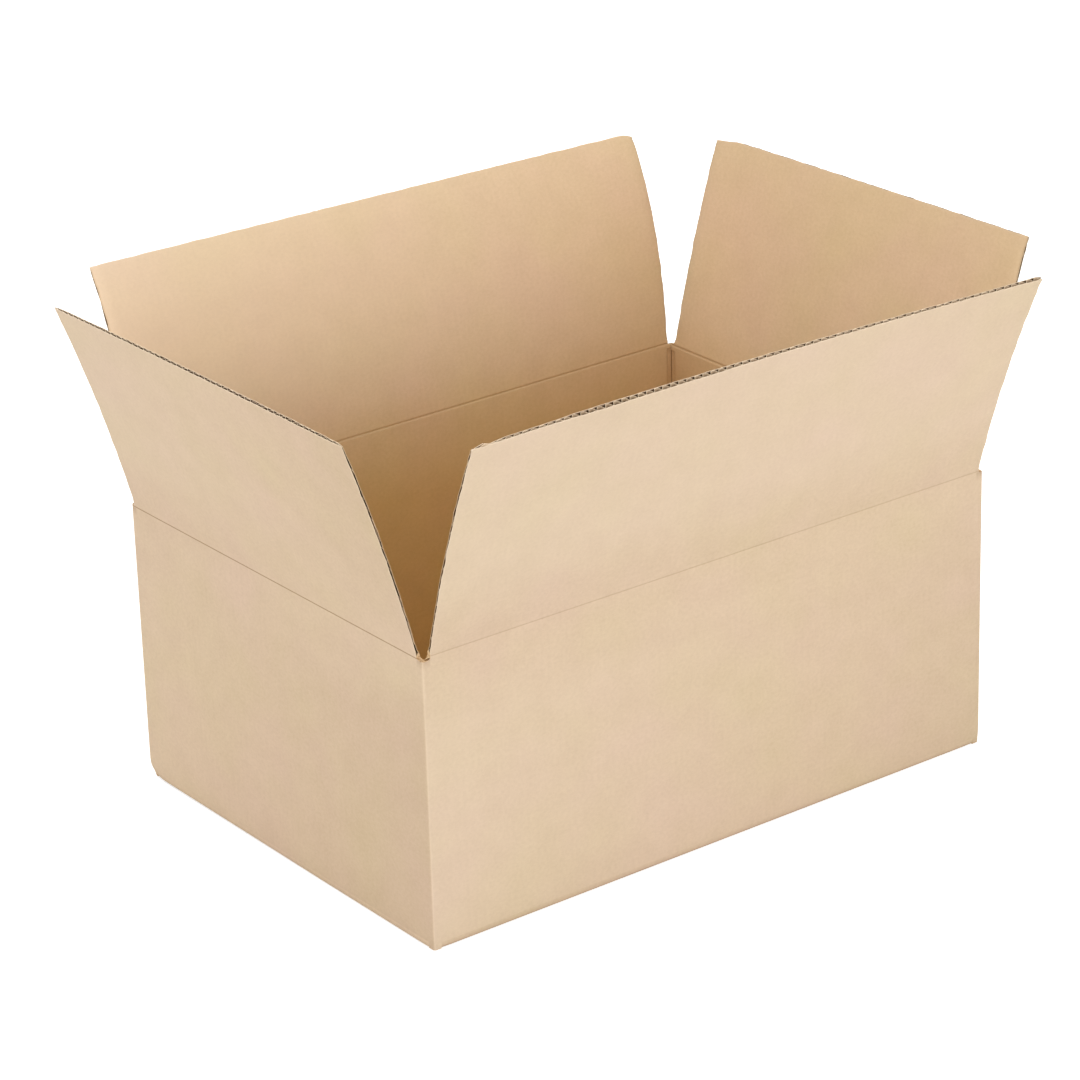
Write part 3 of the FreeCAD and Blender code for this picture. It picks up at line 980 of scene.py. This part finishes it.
    grain = nodes.new("ShaderNodeBump")
    grain.inputs["Strength"].default_value = 0.22
    grain.inputs["Distance"].default_value = 0.0002
    links.new(noise(1300, 2, (0.5, 1, 0), seed + 9), grain.inputs["Height"])
    flutes = nodes.new("ShaderNodeBump")
    flutes.inputs["Strength"].default_value = 0.5
    flutes.inputs["Distance"].default_value = 0.00006 * ripple
    links.new(wave, flutes.inputs["Height"])
    links.new(grain.outputs["Normal"], flutes.inputs["Normal"])
    links.new(flutes.outputs["Normal"], shader.inputs["Normal"])
    return material


class CARTON_OT_papers(bpy.types.Operator):
    """Make the four papers: outer liner, inner liner, cut edges, and kraft darkened as painted shade for the
    flutes between the liners
    """

    bl_idname = "carton.papers"
    bl_label = "Make papers"

    def execute(self, context):
        paper = context.scene.carton_paper
        paper_material(PAPERS[OUTER], tuple(paper.outer), 1.0, 0.25)
        paper_material(PAPERS[INNER], tuple(paper.inner), 21.0, 0.3, tuple(paper.inner_low_shade))
        paper_material(PAPERS[CUT], tuple(paper.cut), 41.0, 0.0)
        paper_material(PAPERS[SHADED_PAPER], tuple(paper.flute), 61.0, 0.0)
        return {"FINISHED"}


class CARTON_OT_walls(bpy.types.Operator):
    """Fold the four walls and glue the corner joint"""

    bl_idname = "carton.walls"
    bl_label = "Make walls"

    def execute(self, context):
        walls = make_walls_piece()
        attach(walls, "carton")
        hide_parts("carton_body")
        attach(make_tab_piece(), "carton")
        return {"FINISHED"}


class CARTON_OT_bottom(bpy.types.Operator):
    """Close the bottom: the short flaps above, the long flaps below"""

    bl_idname = "carton.bottom"
    bl_label = "Make bottom flaps"

    def execute(self, context):
        for side in SIDES:
            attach(make_bottom_piece(side), "carton")
        return {"FINISHED"}


class CARTON_OT_top_flaps(bpy.types.Operator):
    """Stand up the four top flaps on their pressed scores"""

    bl_idname = "carton.top_flaps"
    bl_label = "Make top flaps"

    def execute(self, context):
        for side in SIDES:
            at_foot, at_edge = closing_shares(side)
            fold = make_fold_piece(side)
            blend_with_flap(fold, side, WALL_TOP[0], FLAP_FOOT[0])
            flap = make_flap_piece(side)
            blend_with_flap(flap, side, FLAP_FOOT[0], board().top_flap)
            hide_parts(f"flap_{side}")
        return {"FINISHED"}


# The studio's lights: place and size in metres. All are aimed at LIGHT_AIM.
LIGHTS = {
    "key": ((1.6, -2.8, 1.4), 2.2),
    "front": ((-0.2, -2.7, 1.8), 2.0),
    "left": ((-2.95, -0.25, 1.2), 2.0),
    "back": ((1.9, 2.7, 1.2), 2.2),
    "top": ((-0.3, 0.4, 2.8), 2.4),
}
LIGHT_AIM = Vector((0, 0, 0.2))
# The photograph's camera: azimuth, elevation and roll in degrees, the point that it looks at and how far away
# it is in metres, and its focal length and picture width in pixels.
CAMERA_ANGLES = (-36.734, 23.018, -1.701)
CAMERA_TARGET = Vector((-0.02025, 0, 0.20776))
CAMERA_DISTANCE = 3.4825
FOCAL_PIXELS, PICTURE_PIXELS = 4199.3, 1080
SENSOR_WIDTH = 36


class CARTON_OT_stage(bpy.types.Operator):
    """Set the camera, the white floor and the soft studio lights"""

    bl_idname = "carton.stage"
    bl_label = "Set the stage"

    def execute(self, context):
        scene = context.scene
        light = scene.carton_stage
        place_camera(scene)
        floor = make_floor()
        set_world(scene, light.sky)
        for name, (place, size) in LIGHTS.items():
            add_light(f"{name}_light", place, size, getattr(light, name))
        scene.view_settings.view_transform = "Standard"
        return {"FINISHED"}


def place_camera(scene):
    """Camera at the photograph's angle: back from its target along azimuth and elevation, then rolled."""
    azimuth, elevation, roll = (math.radians(a) for a in CAMERA_ANGLES)
    back = Vector((math.sin(azimuth) * math.cos(elevation), -math.cos(azimuth) * math.cos(elevation),
                   math.sin(elevation)))
    right = Vector((0, 0, 1)).cross(back).normalized()
    up = back.cross(right)
    turned_right = right * math.cos(roll) + up * math.sin(roll)
    turned_up = up * math.cos(roll) - right * math.sin(roll)
    data = bpy.data.cameras.new("camera")
    data.lens = FOCAL_PIXELS / PICTURE_PIXELS * SENSOR_WIDTH
    data.sensor_width = SENSOR_WIDTH
    data.clip_start, data.clip_end = 0.1, 50
    camera = bpy.data.objects.new("camera", data)
    scene.collection.objects.link(camera)
    rotation = Matrix((turned_right, turned_up, back)).transposed()
    camera.matrix_world = Matrix.Translation(CAMERA_TARGET + back * CAMERA_DISTANCE) @ rotation.to_4x4()
    scene.camera = camera


def make_floor():
    """Wide flat floor that looks white to the camera and still takes the carton's shadow."""
    mesh = bpy.data.meshes.new("floor")
    corners = np.array([(-6, -6, 0), (6, -6, 0), (6, 6, 0), (-6, 6, 0)]) - [0, 0, 0.1 * MM]
    mesh.from_pydata(corners.tolist(), [], [(0, 1, 2, 3)])
    material = bpy.data.materials.new("studio_floor")
    material.use_nodes = True
    nodes, links = material.node_tree.nodes, material.node_tree.links
    shader = nodes["Principled BSDF"]
    shader.inputs["Base Color"].default_value = (0.86, 0.86, 0.86, 1)
    shader.inputs["Roughness"].default_value = 0.95
    shader.inputs["Specular IOR Level"].default_value = 0.1
    ray = nodes.new("ShaderNodeLightPath")
    shader.inputs["Emission Color"].default_value = (1, 1, 1, 1)
    lift = nodes.new("ShaderNodeMath")
    lift.operation = "MULTIPLY"
    lift.inputs[1].default_value = 0.6
    links.new(ray.outputs["Is Camera Ray"], lift.inputs[0])
    links.new(lift.outputs[0], shader.inputs["Emission Strength"])
    mesh.materials.append(material)
    floor = bpy.data.objects.new("floor", mesh)
    bpy.context.scene.collection.objects.link(floor)
    return floor


def set_world(scene, strength):
    """Even light of the given strength that the camera sees as plain white."""
    world = bpy.data.worlds.new("studio")
    world.use_nodes = True
    nodes, links = world.node_tree.nodes, world.node_tree.links
    background = nodes["Background"]
    background.inputs["Color"].default_value = (1, 1, 1, 1)
    ray = nodes.new("ShaderNodeLightPath")
    mix = nodes.new("ShaderNodeMapRange")
    mix.inputs["To Min"].default_value = strength
    mix.inputs["To Max"].default_value = 1
    links.new(ray.outputs["Is Camera Ray"], mix.inputs["Value"])
    links.new(mix.outputs["Result"], background.inputs["Strength"])
    scene.world = world


def add_light(name, place, size, power):
    """Square soft light at a place, turned to LIGHT_AIM."""
    data = bpy.data.lights.new(name, "AREA")
    data.energy, data.size = power, size
    lamp = bpy.data.objects.new(name, data)
    lamp.location = place
    lamp.rotation_euler = (LIGHT_AIM - Vector(place)).to_track_quat("-Z", "Y").to_euler()
    bpy.context.scene.collection.objects.link(lamp)


class CARTON_PT_panel(bpy.types.Panel):
    """Sizes, papers and steps of the carton"""

    bl_label = "Carton"
    bl_idname = "CARTON_PT_panel"
    bl_space_type = "VIEW_3D"
    bl_region_type = "UI"
    bl_category = "Carton"

    def draw(self, context):
        for group in (context.scene.carton_board, context.scene.carton_flaps, context.scene.carton_paper,
                      context.scene.carton_stage):
            box = self.layout.box()
            for name in group.__annotations__:
                box.prop(group, name)
        for operator in OPERATORS:
            self.layout.operator(operator.bl_idname)


OPERATORS = (CARTON_OT_papers, CARTON_OT_walls, CARTON_OT_bottom, CARTON_OT_top_flaps, CARTON_OT_stage)
GROUPS = {
    "carton_board": CARTON_PG_board,
    "carton_flaps": CARTON_PG_flaps,
    "carton_paper": CARTON_PG_paper,
    "carton_stage": CARTON_PG_stage,
}


def register():
    for name, group in GROUPS.items():
        bpy.utils.register_class(group)
        setattr(bpy.types.Scene, name, PointerProperty(type=group))
    for operator in (*OPERATORS, CARTON_PT_panel):
        bpy.utils.register_class(operator)


def unregister():
    for operator in (CARTON_PT_panel, *reversed(OPERATORS)):
        bpy.utils.unregister_class(operator)
    for name, group in GROUPS.items():
        delattr(bpy.types.Scene, name)
        bpy.utils.unregister_class(group)


def main():
    """Build the carton in order."""
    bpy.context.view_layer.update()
    register()
    bpy.ops.carton.papers()
    bpy.ops.carton.walls()
    bpy.ops.carton.bottom()
    bpy.ops.carton.top_flaps()
    bpy.ops.carton.stage()


if __name__ == "__main__":
    main()
